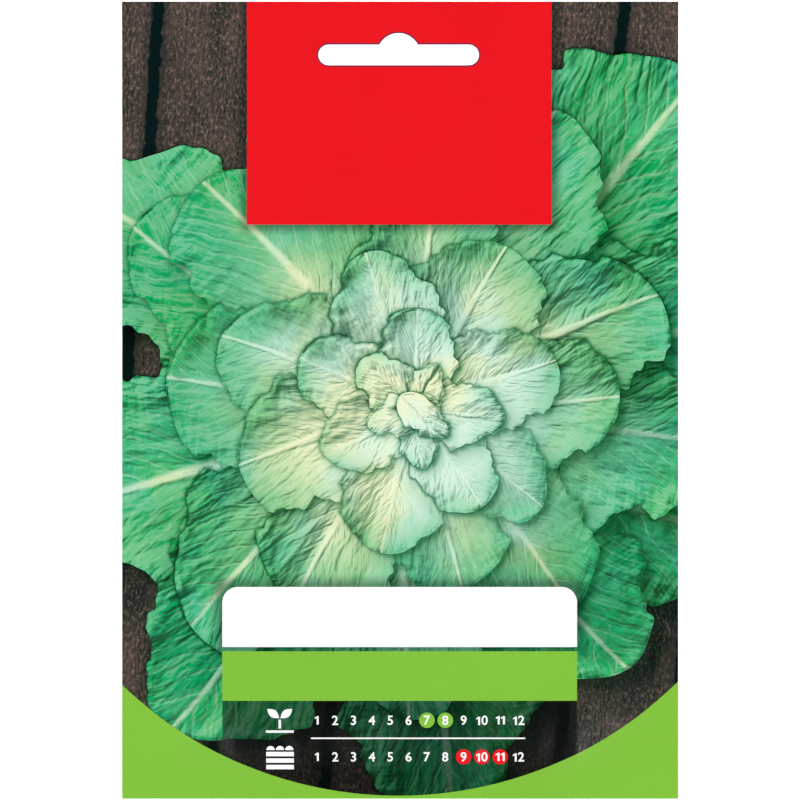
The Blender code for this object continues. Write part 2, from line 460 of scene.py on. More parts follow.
def odd_crossings(lines, x, y):
    """Which points have an odd number of lines to their right, and so lie inside the shape they bound."""
    hit = np.zeros(len(x), bool)
    for (x0, y0), (x1, y1) in lines:
        if y0 != y1:
            hit ^= ((y0 > y) != (y1 > y)) & (x < (x1 - x0) * (y - y0) / (y1 - y0) + x0)
    return hit


def inside(outline, points):
    """Which points lie inside a closed outline."""
    points = np.asarray(points)
    corners = np.asarray(outline)
    found = np.zeros(len(points), bool)
    near = np.all((points >= corners.min(0)) & (points <= corners.max(0)), axis=1)
    found[near] = odd_crossings(zip(corners, np.roll(corners, -1, axis=0)), *points[near].T)
    return found


def inside_edges(points, edges, tested):
    """Which tested points lie inside a shape given by its points and edges."""
    return odd_crossings([(points[a], points[b]) for a, b in edges], *np.asarray(tested).T)


def from_outline(outline, points):
    """For each point, the way to it from the nearest place on a closed outline."""
    starts = np.asarray(outline)
    runs = np.roll(starts, -1, axis=0) - starts
    squares = np.maximum((runs**2).sum(axis=1), 1e-16)
    gaps = np.asarray(points)[:, None, :] - starts
    shares = np.clip((gaps * runs).sum(axis=2) / squares, 0.0, 1.0)
    gaps = gaps - shares[:, :, None] * runs
    nearest = (gaps**2).sum(axis=2).argmin(axis=1)
    return gaps[np.arange(len(gaps)), nearest]


# The leaves of the printed picture


class Leaf:
    """One leaf of the picture: where it lies, its outline, and how it hides what is below it."""

    def __init__(self, share, turn, chance):
        """share is 0 for the outermost leaf and 1 for the innermost."""
        sizes = settings().leaf
        reach = (1 - share) ** 1.15
        length = sizes.shortest + (sizes.longest - sizes.shortest) * reach
        self.length = length * chance.uniform(0.90, 1.06)
        self.folded = float(smooth(HEART_FROM, 1.0, share))
        broad = 0.26 + 0.09 * share - 0.07 * self.folded
        self.half_width = self.length * broad * chance.uniform(0.90, 1.10)
        self.angle = turn + chance.uniform(-0.14, 0.14)
        self.bend = self.length * chance.uniform(-0.14, 0.14)
        self.seed = chance.uniform(0.0, 1.0)
        self.age = 1 - share
        self.blunt = chance.uniform(3.2, 6.5) * (1 - 0.40 * self.folded)
        back = (0.10 + 0.24 * self.folded) * self.length
        self.base = np.array(
            (sizes.centre_x - back * math.cos(self.angle), sizes.centre_y - back * math.sin(self.angle))
        )
        frilled = 0.9 + 0.7 * self.age + 1.3 * self.folded
        self.waves = [
            (chance.uniform(fewest, most), chance.uniform(0, math.tau), size * frilled)
            for fewest, most, size in EDGE_WAVES
        ]
        self.outline = self.edge_points()

    def half(self, share):
        """Half the width at a share of the length, without the edge's waves."""
        held = np.clip(share, 0.0, 1.0)
        broadens = LEAF_FOOT_WIDTH + (1 - LEAF_FOOT_WIDTH) * smooth(0.0, LEAF_WIDEST_AT, held)
        spread = broadens * np.sqrt(np.minimum(held / 0.05, 1.0))
        round_foot = np.sqrt(1 - (1 - np.minimum(held / 0.5, 1.0)) ** 2)
        rise = spread + (round_foot - spread) * self.folded
        return self.half_width * rise * np.sqrt(1 - held**self.blunt)

    def ragged(self, share, side):
        """How far the edge waves out, as a share of the half width."""
        turned = [(math.tau * turns * share + start * side, size) for turns, start, size in self.waves]
        return 1 + smooth(0.15, 0.55, share) * sum(size * np.sin(turn) for turn, size in turned)

    def edge_points(self):
        count = max(24, round(self.length / (0.6 * MM)))
        shares = (1 - np.cos(np.linspace(0.0, math.pi, count))) / 2
        right = np.stack((shares, -self.half(shares) * self.ragged(shares, -1)), axis=1)
        left = np.stack((shares, self.half(shares) * self.ragged(shares, 1)), axis=1)
        around = np.concatenate((right, left[-2::-1]))
        along = around[:, 0] * self.length
        across = around[:, 1] + self.bend * around[:, 0] ** 2
        cos, sin = math.cos(self.angle), math.sin(self.angle)
        x = self.base[0] + along * cos - across * sin
        y = self.base[1] + along * sin + across * cos
        return list(zip(x.tolist(), y.tolist()))

    def local(self, points):
        """Each point's share of the length, and its distance to the left of the rib."""
        cos, sin = math.cos(self.angle), math.sin(self.angle)
        x, y = (np.asarray(points) - self.base).T
        share = (x * cos + y * sin) / self.length
        return share, y * cos - x * sin - self.bend * share**2

    def depth(self, points):
        """How far each point lies inside the edge, negative outside. It is rough where the edge is far."""
        share, across = self.local(points)
        side = self.half(share) - np.abs(across)
        found = np.minimum(side, np.minimum(self.length * (1 - share), self.length * share))
        near = np.abs(found) < 9 * MM
        apart = np.linalg.norm(from_outline(self.outline, points[near]), axis=1)
        found[near] = np.where(inside(self.outline, points[near]), apart, -apart)
        return found


def rosette():
    """The leaves from the lowest, outermost one to the topmost one, each a golden angle from the last."""
    sizes = settings().leaf
    chance = random.Random(sizes.draw)
    last = sizes.count - 1
    return [Leaf(i / last, i * GOLDEN_ANGLE, chance) for i in range(sizes.count)]


def shadow_on(points, above, low):
    """How dark the leaves above make each point: a tight dark line and a wider cast shadow."""
    dark = np.zeros(len(points))
    towards_light = np.array(TOWARDS_LIGHT)
    for leaf in above:
        reach = min(leaf.length * 0.045, 3.2 * MM) * (0.6 + 0.8 * leaf.seed) * (1.6 if low else 1.0)
        tight = (0.65 + 0.30 * leaf.seed) * smooth(-0.9 * MM, 0.15 * MM, leaf.depth(points))
        cast = 0.74 * smooth(-reach, 0.6 * reach, leaf.depth(points + towards_light * reach))
        wide = 0.52 * smooth(-3.0 * reach, reach, leaf.depth(points + towards_light * 1.3 * reach))
        dark = np.maximum(dark, np.maximum(tight, np.maximum(cast, wide)))
    return dark


# The printed face: one flat net of triangles, whose edges follow everything that is printed


class Net:
    """Gathers outlines, and cuts the face into triangles along them."""

    def __init__(self):
        self.points = []
        self.edges = []

    def add(self, outline, closed=True):
        first = len(self.points)
        self.points += outline
        count = len(outline)
        last = count if closed else count - 1
        self.edges += [(first + i, first + (i + 1) % count) for i in range(last)]

    def add_edges(self, points, edges):
        first = len(self.points)
        self.points += points
        self.edges += [(first + a, first + b) for a, b in edges]

    def fill(self, spacing, clear):
        """Adds staggered points over the packet, clear of the outlines already there."""
        tree = search_tree(self.points)
        wide = math.floor(PACKET_WIDTH / spacing)
        tall = math.floor(PACKET_HEIGHT / (spacing * ROW_HEIGHT))
        for row in range(tall + 1):
            y = (row - tall / 2) * spacing * ROW_HEIGHT
            for column in range(wide + 1):
                x = (column - wide / 2 + 0.5 * (row % 2)) * spacing
                within = abs(x) < PACKET_WIDTH / 2 - clear and abs(y) < PACKET_HEIGHT / 2 - clear
                if within and tree.find((x, y, 0.0))[2] > clear:
                    self.points.append((x, y))

    def triangles(self):
        """The net's points and its triangles, each anticlockwise."""
        flat = [Vector(p) for p in self.points]
        made = geometry.delaunay_2d_cdt(flat, self.edges, [], 0, 1e-6, False)
        points = np.array([tuple(v) for v in made[0]])
        faces = np.array([f for f in made[2] if len(f) == 3])
        a, b, c = (points[faces[:, i]] for i in range(3))
        area = (b[:, 0] - a[:, 0]) * (c[:, 1] - a[:, 1]) - (b[:, 1] - a[:, 1]) * (c[:, 0] - a[:, 0])
        faces[area < 0] = faces[area < 0][:, ::-1]
        return points, faces[np.abs(area) > 1e-13]


def font_digit(digit, height):
    """A digit's outlines from Blender's own plain font: its points, and the edges between them."""
    curve = bpy.data.curves.new("number", "FONT")
    curve.body = digit
    curve.size = height
    curve.resolution_u = 4
    curve.offset = 0.018 * height
    holder = placed("number", curve)
    bpy.context.view_layer.update()
    mesh = bpy.data.meshes.new_from_object(holder.evaluated_get(bpy.context.evaluated_depsgraph_get()))
    bpy.data.objects.remove(holder)
    bpy.data.curves.remove(curve)
    shape = bmesh.new()
    shape.from_mesh(mesh)
    bpy.data.meshes.remove(mesh)
    bmesh.ops.remove_doubles(shape, verts=shape.verts[:], dist=1e-7)
    shape.verts.index_update()
    rim = [e for e in shape.edges if len(e.link_faces) == 1]
    order = {}
    for edge in rim:
        for vert in edge.verts:
            order.setdefault(vert.index, (len(order), (vert.co.x, vert.co.y)))
    points = np.array([place for _, place in order.values()])
    edges = [tuple(order[v.index][0] for v in edge.verts) for edge in rim]
    shape.free()
    return points, edges


def flagged_one(height):
    """The digit 1: a stem with a short flag, as points and edges."""
    stem, flag, top = 0.235, 0.46, 0.64 * height
    corners = [(0, 0), (0, 1), (-0.75 * stem, 1), (-flag, 0.84), (-flag, 0.65), (-stem, 0.77), (-stem, 0)]
    points = np.array(corners) * top
    return points, [(i, (i + 1) % len(points)) for i in range(len(points))]


def number_outlines(text, x, y, height):
    """A number's outlines with its middle at x, y: its points, and the edges between them."""
    points, edges = [], []
    start = 0.0
    for digit in text:
        found, joined = flagged_one(height) if digit == "1" else font_digit(digit, height)
        found = found - found.min(axis=0) + (start, 0.0)
        start = found[:, 0].max() + 0.1 * height
        first = len(points)
        points += found.tolist()
        edges += [(first + a, first + b) for a, b in joined]
    points = np.array(points)
    middle = (points.min(axis=0) + points.max(axis=0)) / 2
    return [tuple(p) for p in (points - middle + (x, y)).tolist()], edges


# What is printed on the front, field by field


def ring(x, y, radius):
    return arc((x, y), radius, 0, math.tau * 0.98, 0.35 * MM)


def lens(x, y, length, width, turn):
    """A pointed oval, such as a small leaf, that starts at x, y."""
    rise = [math.sin(math.pi * i / 8) * width / 2 for i in range(9)]
    along = [length * i / 8 for i in range(9)]
    around = list(zip(along, rise)) + [(a, -r) for a, r in zip(along[-2:0:-1], rise[-2:0:-1])]
    cos, sin = math.cos(turn), math.sin(turn)
    return [(x + a * cos - r * sin, y + a * sin + r * cos) for a, r in around]


def sprout_outlines(x, y):
    """The sowing row's sign: a sprout with two leaves, over a line of soil."""
    unit = settings().fields.sign_scale * MM
    soil = rectangle(x - 2.3 * unit, x + 2.3 * unit, y - 2.1 * unit, y - 1.7 * unit)
    stalk = rectangle(x - 0.2 * unit, x + 0.2 * unit, y - 1.4 * unit, y + 0.1 * unit)
    left = lens(x - 0.1 * unit, y + 0.35 * unit, 2.5 * unit, 1.3 * unit, math.radians(142))
    right = lens(x + 0.1 * unit, y + 0.35 * unit, 2.5 * unit, 1.3 * unit, math.radians(38))
    return [soil, stalk, left, right]


def crate_outlines(x, y):
    """The harvest row's sign: a slatted crate with round heads in it."""
    unit = settings().fields.sign_scale * MM
    slats = [
        rectangle(x - 2.3 * unit, x + 2.3 * unit, y + (low - 2.1) * unit, y + (low - 1.35) * unit)
        for low in (0.0, 1.1, 2.2)
    ]
    heads = [
        arc((x + across * unit, y + 1.15 * unit), 0.7 * unit, 0, math.pi, 0.25 * unit)
        for across in (-1.55, 0.0, 1.55)
    ]
    return slats + heads


def foot_outline():
    """The lime foot, under a wide arc."""
    sizes = settings().fields
    side = PACKET_WIDTH / 2
    low = -PACKET_HEIGHT / 2
    start = math.acos((-side - sizes.arc_middle) / sizes.arc_radius)
    end = math.acos((side - sizes.arc_middle) / sizes.arc_radius)
    over = arc((sizes.arc_middle, sizes.arc_centre), sizes.arc_radius, -start, -end, 1.0 * MM)
    return [*over, (side, low), (-side, low)]


def front_fields():
    """The front's printed fields as (ink, outline), from the lowest to the topmost."""
    sizes = settings().fields
    left = sizes.middle - sizes.field_half
    right = sizes.middle + sizes.field_half
    block = (sizes.block_middle - sizes.block_half, sizes.block_middle + sizes.block_half)
    months = [sizes.month_start + i * sizes.month_step for i in range(12)]
    rule_ends = (months[0] - sizes.rule_before, months[-1] + sizes.rule_after)
    rule = rectangle(*rule_ends, sizes.rule_row - sizes.rule_half, sizes.rule_row + sizes.rule_half)
    fields = [
        ("lime", foot_outline()),
        ("lime", rectangle(left, right, sizes.band_foot, sizes.band_top)),
        ("white", label_outline()),
        ("red", rectangle(*block, sizes.block_foot, PACKET_HEIGHT / 2)),
        ("white", rule),
    ]
    fields += [("lime", ring(months[i], sizes.sow_row, sizes.disc_radius)) for i in SOWING_MONTHS]
    fields += [("red", ring(months[i], sizes.pick_row, sizes.disc_radius)) for i in HARVEST_MONTHS]
    signs = sprout_outlines(sizes.sign_middle, sizes.sow_row)
    signs += crate_outlines(sizes.sign_middle, sizes.pick_row)
    fields += [("white", outline) for outline in signs]
    fields.append(("keyline", slot_outline(sizes.keyline)))
    return fields


def month_numbers():
    """The numbers 1 to 12 in both rows, each as its points and edges."""
    sizes = settings().fields
    return [
        number_outlines(str(i + 1), sizes.month_start + i * sizes.month_step, row, sizes.month_height)
        for row in (sizes.sow_row, sizes.pick_row)
        for i in range(12)
    ]


def under_panel(points):
    """Which points lie under the dark panel, between the band and the foot's arc."""
    sizes = settings().fields
    aside = np.abs(points[:, 0] - sizes.middle) < sizes.field_half
    return aside & (points[:, 1] < sizes.band_foot)


def visible_runs(leaf, above):
    """The stretches of a leaf's outline that no leaf above it hides, with one hidden point at each end."""
    points = np.array(leaf.outline)
    hidden = np.zeros(len(points), bool)
    for other in above:
        hidden |= inside(other.outline, points)
    half = np.array((PACKET_WIDTH, PACKET_HEIGHT)) / 2 + 2 * MM
    hidden |= np.any(np.abs(points) > half, axis=1)
    keep = ~hidden | ~np.roll(hidden, 1) | ~np.roll(hidden, -1)
    runs, run = [], []
    for point, kept in zip(leaf.outline, keep):
        if kept:
            run.append(point)
        elif run:
            runs.append(run)
            run = []
    if run:
        runs.append(run)
    return [r for r in runs if len(r) > 1]


def front_net(leaves, numbers):
    """The front's net: its rim and slot, every field's outline, the numbers, and the leaves' edges."""
    sizes = settings().fields
    net = Net()
    net.add(split(packet_outline(), sizes.grid))
    net.add(slot_outline())
    for _, outline in front_fields():
        net.add(split(outline, sizes.grid))
    for side in (-1, 1):
        x = sizes.middle + side * sizes.field_half
        drop = math.sqrt(sizes.arc_radius**2 - (x - sizes.arc_middle) ** 2)
        panel_side = [(x, sizes.band_foot), (x, sizes.arc_centre - drop)]
        net.add(split(panel_side, sizes.grid, closed=False), closed=False)
    for points, edges in numbers:
        net.add_edges(points, edges)
    for i, leaf in enumerate(leaves):
        for run in visible_runs(leaf, leaves[i + 1 :]):
            net.add(run, closed=False)
    net.fill(sizes.grid, CLEAR_OF_LINES * sizes.grid)
    return net


def within_packet(points, faces):
    """The net without what lies in the hang slot or outside the packet: its points and its triangles."""
    middles = points[faces].mean(axis=1)
    out = inside(slot_outline(), middles)
    out |= np.any(np.abs(middles) > np.array((PACKET_WIDTH, PACKET_HEIGHT)) / 2, axis=1)
    used, again = np.unique(faces[~out], return_inverse=True)
    return points[used], again.reshape(-1, 3)


def rim_of(faces):
    """The directed edges that only one face has."""
    edges = np.concatenate([faces[:, (i, (i + 1) % 3)] for i in range(3)])
    there = set(map(tuple, edges.tolist()))
    return [(a, b) for a, b in there if (b, a) not in there]


def plain_net(points, rim, spacing):
    """A coarser net with the same rim: its points, its triangles, and each rim point's place in it."""
    net = Net()
    order = sorted({a for edge in rim for a in edge})
    place = {a: i for i, a in enumerate(order)}
    net.add_edges([tuple(points[a]) for a in order], [(place[a], place[b]) for a, b in sorted(rim)])
    net.fill(spacing, 0.5 * spacing)
    found, faces = within_packet(*net.triangles())
    tree = search_tree(found)
    return found, faces, {a: tree.find((*points[a], 0.0))[1] for a in order}


def closed_web(name, points, faces, inks, height, facing):
    """A closed web: the printed net outside, a coarser plain net inside, and its rim.

    facing is 1 where the print faces up and -1 where it faces down. Returns the piece.
    """
    thickness = settings().web.thickness
    rim = rim_of(faces)
    plain, plain_faces, place = plain_net(points, rim, PLAIN_GRID)
    outer = np.column_stack((points, height(points)))
    inner = np.column_stack((plain, height(plain) - facing * thickness))
    first = len(outer)
    walls = [(a, first + place[a], first + place[b], b) for a, b in sorted(rim)]
    shapes = faces.tolist() + (plain_faces[:, ::-1] + first).tolist() + walls
    if facing < 0:
        shapes = [shape[::-1] for shape in shapes]
    mesh = bpy.data.meshes.new(name)
    mesh.from_pydata(np.concatenate((outer, inner)).tolist(), [], shapes)
    counts = (len(faces), len(plain_faces), len(walls))
    film, edge = WEB_SLOTS.index("inner film"), WEB_SLOTS.index("paper edge")
    slots = np.concatenate((inks, np.full(counts[1], film), np.full(counts[2], edge)))
    mesh.polygons.foreach_set("material_index", slots.astype(np.int32))
    lay_flat(mesh, *counts)
    mesh.shade_smooth()
    mesh.set_sharp_from_angle(angle=WEB_SHARP)
    return placed(name, mesh)


def lay_flat(mesh, printed, plain, walls):
    """A flat map of a web: its printed side fills most of it, with the plain side and the rim beside."""
    corner = np.empty(len(mesh.loops), np.int32)
    mesh.loops.foreach_get("vertex_index", corner)
    places = np.array([tuple(v.co.xy) for v in mesh.vertices])[corner]
    share = places / (PACKET_WIDTH, PACKET_HEIGHT) + 0.5
    number = np.repeat(np.arange(walls), 4)
    cell = np.column_stack((number % RIM_COLUMNS, number // RIM_COLUMNS)) + np.tile(RIM_CELL, (walls, 1))
    rim = cell / (RIM_COLUMNS, math.ceil(walls / RIM_COLUMNS))
    parts = np.split(share, (printed * 3, (printed + plain) * 3))[:2] + [rim]
    found = np.concatenate([part * size + low for part, (low, size) in zip(parts, MAP_PARTS)])
    layer = mesh.uv_layers.new(name=BAKE_MAP)
    layer.uv.foreach_set("vector", found.astype(np.float32).ravel())


def store(mesh, domain, **named):
    """Keeps values on a mesh as named attributes, for its materials' nodes to read."""
    for name, values in named.items():
        kind, key = ("FLOAT_VECTOR", "vector") if values.ndim == 2 else ("FLOAT", "value")
        attribute = mesh.attributes.new(name, kind, domain)
        attribute.data.foreach_set(key, np.ascontiguousarray(values, np.float32).ravel())


def paint_front(points, faces, leaves, numbers):
    """Each triangle's ink, and the leaf that it shows, or -1."""
    middles = points[faces].mean(axis=1)
    shows = np.full(len(faces), -1)
    for i, leaf in enumerate(leaves):
        shows[inside(leaf.outline, middles)] = i
    inks = np.where(shows >= 0, WEB_SLOTS.index("leaf print"), WEB_SLOTS.index("board print"))
    for ink, outline in front_fields():
        inks[inside(outline, middles)] = WEB_SLOTS.index(f"{ink} ink")
    for shape, edges in numbers:
        inks[inside_edges(shape, edges, middles)] = WEB_SLOTS.index("white ink")
    return inks, shows


def store_picture(mesh, points, faces, leaves, shows):
    """Keeps what the picture's materials need: each face's leaf, the dark panel, and at each corner the
    shadow and the way from the leaf's edge."""
    count = len(mesh.polygons)
    place = np.zeros((count, 3))
    form = np.ones((count, 3))
    tone = np.zeros((count, 3))
    panel = np.zeros(count)
    dark = np.zeros(len(mesh.loops))
    rim = np.zeros((len(mesh.loops), 3))
    panel[: len(faces)] = under_panel(points[faces].mean(axis=1))
    for i in range(-1, len(leaves)):
        chosen = np.flatnonzero(shows == i)
        used, again = np.unique(faces[chosen], return_inverse=True)
        corners = (chosen[:, None] * 3 + np.arange(3)).ravel()
        again = again.ravel()
        dark[corners] = shadow_on(points[used], leaves[i + 1 :], i < 0)[again]
        if i >= 0:
            leaf = leaves[i]
            place[chosen] = (leaf.base[0] / MM, leaf.base[1] / MM, leaf.angle)
            form[chosen] = (leaf.length / MM, leaf.half_width / MM, leaf.bend / MM)
            tone[chosen] = (leaf.seed, leaf.age, leaf.blunt)
            if len(used):
                rim[corners, :2] = from_outline(leaf.outline, points[used])[again] / MM
    store(mesh, "FACE", leaf_place=place, leaf_form=form, leaf_tone=tone, panel=panel)
    store(mesh, "CORNER", shadow=dark, from_edge=rim)


# Node trees, written as sums


class Value:
    """One value in a node tree. Arithmetic on it adds the node that works it out."""

    def __init__(self, tree, socket):
        self.tree = tree
        self.socket = socket

    def math(self, operation, *others):
        return self.tree.node("ShaderNodeMath", self, *others, operation=operation)

    def __add__(self, other):
        return self.math("ADD", other)

    def __sub__(self, other):
        return self.math("SUBTRACT", other)

    def __rsub__(self, other):
        return self.tree.node("ShaderNodeMath", other, self, operation="SUBTRACT")

    def __mul__(self, other):
        return self.math("MULTIPLY", other)

    def __truediv__(self, other):
        return self.math("DIVIDE", other)

    def __rtruediv__(self, other):
        return self.tree.node("ShaderNodeMath", other, self, operation="DIVIDE")

    def __pow__(self, other):
        return self.math("POWER", other)

    def __abs__(self):
        return self.math("ABSOLUTE")

    def eased(self, start, end):
        """Eases from 0 where the value is start to 1 where it is end."""
        return self.tree.node(
            "ShaderNodeMapRange", self, start, end, interpolation_type="SMOOTHSTEP", output="Result"
        )

    def between(self, low, high):
        """Runs from low to high as the value runs from 0 to 1."""
        return self * (high - low) + low

    def clipped(self):
        return self.tree.node("ShaderNodeClamp", self)

    def positive(self):
        return self.math("MAXIMUM", 0.0)

    def root(self):
        return self.math("SQRT")

    __radd__ = __add__
    __rmul__ = __mul__


class Tree:
    """A node tree being written: a material's own, or a group's."""

    def __init__(self, tree):
        self.tree = tree
        self.made = 0

    def place(self, node):
        node.location = (NODE_COLUMN * (self.made // 6), -NODE_COLUMN * (self.made % 6))
        self.made += 1
        return node

    def feed(self, socket, given):
        if isinstance(given, Value):
            self.tree.links.new(given.socket, socket)
        elif given is not None:
            socket.default_value = given

    def node(self, kind, *inputs, output=0, named=None, **options):
        """Adds a node, sets its options, feeds its inputs in order or by name, and returns one output."""
        node = self.place(self.tree.nodes.new(kind))
        for option, choice in options.items():
            setattr(node, option, choice)
        for socket, given in zip(node.inputs, inputs):
            self.feed(socket, given)
        for name, given in (named or {}).items():
            self.feed(node.inputs[name], given)
        return Value(self, node.outputs[output])

    def attribute(self, name, output="Vector"):
        options = {"attribute_name": name, "attribute_type": "GEOMETRY"}
        return self.node("ShaderNodeAttribute", output=output, **options)

    def parts(self, vector):
        """A vector's three values."""
        first = self.node("ShaderNodeSeparateXYZ", vector)
        return [Value(self, socket) for socket in first.socket.node.outputs]

    def join(self, x, y, z):
        return self.node("ShaderNodeCombineXYZ", x, y, z)

    def vector(self, operation, *inputs):
        return self.node("ShaderNodeVectorMath", *inputs, operation=operation)

    def scaled(self, vector, factor):
        named = {"Vector": vector, "Scale": factor}
        return self.node("ShaderNodeVectorMath", named=named, operation="SCALE")

    def turned(self, vector, angle):
        """A vector turned about Z."""
        named = {"Vector": vector, "Angle": angle}
        return self.node("ShaderNodeVectorRotate", named=named, rotation_type="Z_AXIS")

    def length(self, vector):
        return self.node("ShaderNodeVectorMath", vector, operation="LENGTH", output="Value")

    def noise(self, vector, scale, detail=2.0, roughness=0.5, output=0):
        named = {"Vector": vector, "Scale": scale, "Detail": detail, "Roughness": roughness}
        return self.node("ShaderNodeTexNoise", named=named, output=output)

    def uneven(self, x, y, z, detail=3.0):
        """Noise about 0 that changes once in each unit of x, y and z."""
        return self.noise(self.join(x, y, z), 1.0, detail=detail) - 0.5

    def cells(self, vector, scale):
        """The distance to the nearest border between cells."""
        named = {"Vector": vector, "Scale": scale}
        options = {"feature": "DISTANCE_TO_EDGE", "output": "Distance"}
        return self.node("ShaderNodeTexVoronoi", named=named, **options)

    def mixed(self, share, first, second, mode="MIX"):
        """Mixes two colours."""
        node = self.place(self.tree.nodes.new("ShaderNodeMix"))
        node.data_type = "RGBA"
        node.blend_type = mode
        self.feed(node.inputs[0], share)
        self.feed(node.inputs[6], first)
        self.feed(node.inputs[7], second)
        return Value(self, node.outputs[2])

    def bump(self, height, strength, distance):
        """The normals of a finely uneven surface."""
        named = {"Strength": strength, "Distance": distance, "Height": height}
        return self.node("ShaderNodeBump", named=named)

    def millimetres(self):
        """The point on the packet, in millimetres."""
        return self.scaled(self.node("ShaderNodeTexCoord", output="Object"), 1 / MM)


def set_column(node, column):
    """Puts a node at the top of a column of the node editor."""
    node.location = (NODE_COLUMN * column, 0)


def group_of(name, takes, gives):
    """A new node group: its tree, inputs and output node. takes and gives are (name, kind) pairs."""
    data = bpy.data.node_groups.new(name, "ShaderNodeTree")
    for label, kind in takes:
        data.interface.new_socket(label, in_out="INPUT", socket_type=kind)
    for label, kind in gives:
        data.interface.new_socket(label, in_out="OUTPUT", socket_type=kind)
    tree = Tree(data)
    start = tree.place(data.nodes.new("NodeGroupInput"))
    end = data.nodes.new("NodeGroupOutput")
    set_column(end, 20)
    return tree, [Value(tree, socket) for socket in start.outputs[:-1]], end


def use_group(tree, name, *inputs):
    """Adds a group to a tree and returns its outputs by name."""
    node = tree.place(tree.tree.nodes.new("ShaderNodeGroup"))
    node.node_tree = bpy.data.node_groups[name]
    for socket, given in zip(node.inputs, inputs):
        tree.feed(socket, given)
    return {socket.name: Value(tree, socket) for socket in node.outputs}


VECTOR, NUMBER = "NodeSocketVector", "NodeSocketFloat"


class LeafSpot:
    """Where a point lies on its leaf, as node values: in millimetres, and as shares of the leaf's sizes."""

    def __init__(self, tree, point, place, form, tone):
        base_x, base_y, angle = tree.parts(place)
        self.length, self.half_width, bend = tree.parts(form)
        self.seed, self.age, blunt = tree.parts(tone)
        self.folded = self.age.eased(1 - HEART_FROM, 0.0)
        from_base = tree.vector("SUBTRACT", point, tree.join(base_x, base_y, 0.0))
        self.along, side, _ = tree.parts(tree.turned(from_base, angle * -1.0))
        self.share = self.along / self.length
        self.side = side - bend * self.share**2.0
        self.half = self.half_width * self.rise() * self.tip(blunt)
        self.across = self.side / self.half
        self.edge = abs(self.across)
        self.follow_veins(tree)

    def follow_veins(self, tree):
        """Where the point lies along and beside the veins, which slant forward and are bent by noise."""
        where = tree.join(self.along, self.side, self.seed * 90.0)
        warp_x, warp_y, _ = tree.parts(tree.noise(where, 0.11, detail=2.0, output="Color"))
        self.warp = warp_y - 0.5
        self.side_bent = self.side + self.warp * 3.0
        self.away = abs(self.side_bent)
        slant = self.away * 1.35 + self.away * self.away * 0.40 / self.half_width
        self.run = self.along + (warp_x - 0.5) * 5.0 - slant
        self.offset = self.side.math("GREATER_THAN", 0.0) * 0.5 + self.seed

    def rise(self):
        """How the leaf broadens from its foot, the same as in its outline."""
        spread = self.share.eased(0.0, LEAF_WIDEST_AT).between(LEAF_FOOT_WIDTH, 1.0)
        round_foot = (1.0 - (1.0 - (self.share * 2.0).clipped()) ** 2.0).root()
        return spread + (round_foot - spread) * self.folded

    def tip(self, blunt):
        """How the leaf narrows to its tip, the same as in its outline."""
        return (1.0 - self.share.clipped() ** blunt).math("MAXIMUM", 0.02).root()


def leaf_rib(spot):
    """A leaf's middle rib, from 0 to 1, and its width. The folded leaves of the heart hide theirs."""
    width = spot.half_width * (1.0 - spot.share).clipped() ** 1.6 * 0.17 + spot.half_width * 0.028
    return (abs(spot.side + spot.warp * 0.8) / width).eased(1.15, 0.25) * (1.0 - spot.folded), width


def leaf_veins(spot):
    """The veins that run out from a leaf's rib, from 0 to 1, with finer ones between them."""
    turns = spot.run / (spot.length * 0.075) + spot.offset
    stripe = abs(turns.math("FRACT") - 0.5) * 2.0
    fine_stripe = abs((turns * 2.0 + 0.5).math("FRACT") - 0.5) * 2.0
    vein = stripe.eased(0.80, 1.0) * (1.0 - spot.edge * 0.55)
    fine_vein = fine_stripe.eased(0.80, 1.0) * spot.edge.eased(0.15, 0.6) * 0.5
    return vein.math("MAXIMUM", fine_vein).clipped()


def leaf_arch(spot):
    """A leaf's large form: an open leaf arches up and over and is cupped, and a folded one is domed."""
    rising = spot.share * (0.72 - spot.age * 0.44)
    open_arch = spot.length * (rising - spot.share**2.0 * (spot.age * 0.22 + 0.28))
    dome = spot.length * spot.share * (1.0 - spot.share) * 0.5
    cup = spot.half * spot.across**2.0 * (0.42 - spot.age * 0.34 - spot.folded * 0.55)
    return open_arch + (dome - open_arch) * spot.folded + cup


def leaf_creases(tree, spot, rib, apart):
    """A leaf's frilled and curled edge, its folds and its creases. apart is the way from its edge."""
    seed, run, edge = spot.seed, spot.run, spot.edge
    frill = tree.uneven(spot.along * 0.17, spot.across * 0.9, seed * 70.0)
    fold = tree.uneven(run * 0.045, spot.side_bent * 0.16, seed * 30.0)
    crease = abs(tree.uneven(run * 0.15, spot.away * 0.05, spot.offset * 20.0, detail=2.0))
    crumple = tree.uneven(spot.along * 0.55, spot.side * 0.55, seed * 30.0)
    curl = tree.noise(tree.join(spot.along * 0.11, spot.side * 0.11, seed * 40.0), 1.0, detail=2.0) - 0.44
    return (
        frill * edge.eased(0.25, 1.0) * 5.0
        + curl * apart.eased(4.5, 0.0) * 7.0
        + fold * 4.4 * (1.0 - rib * 0.7)
        + crease * edge.eased(0.05, 0.5) * 3.2
        + crumple * 0.38
    )


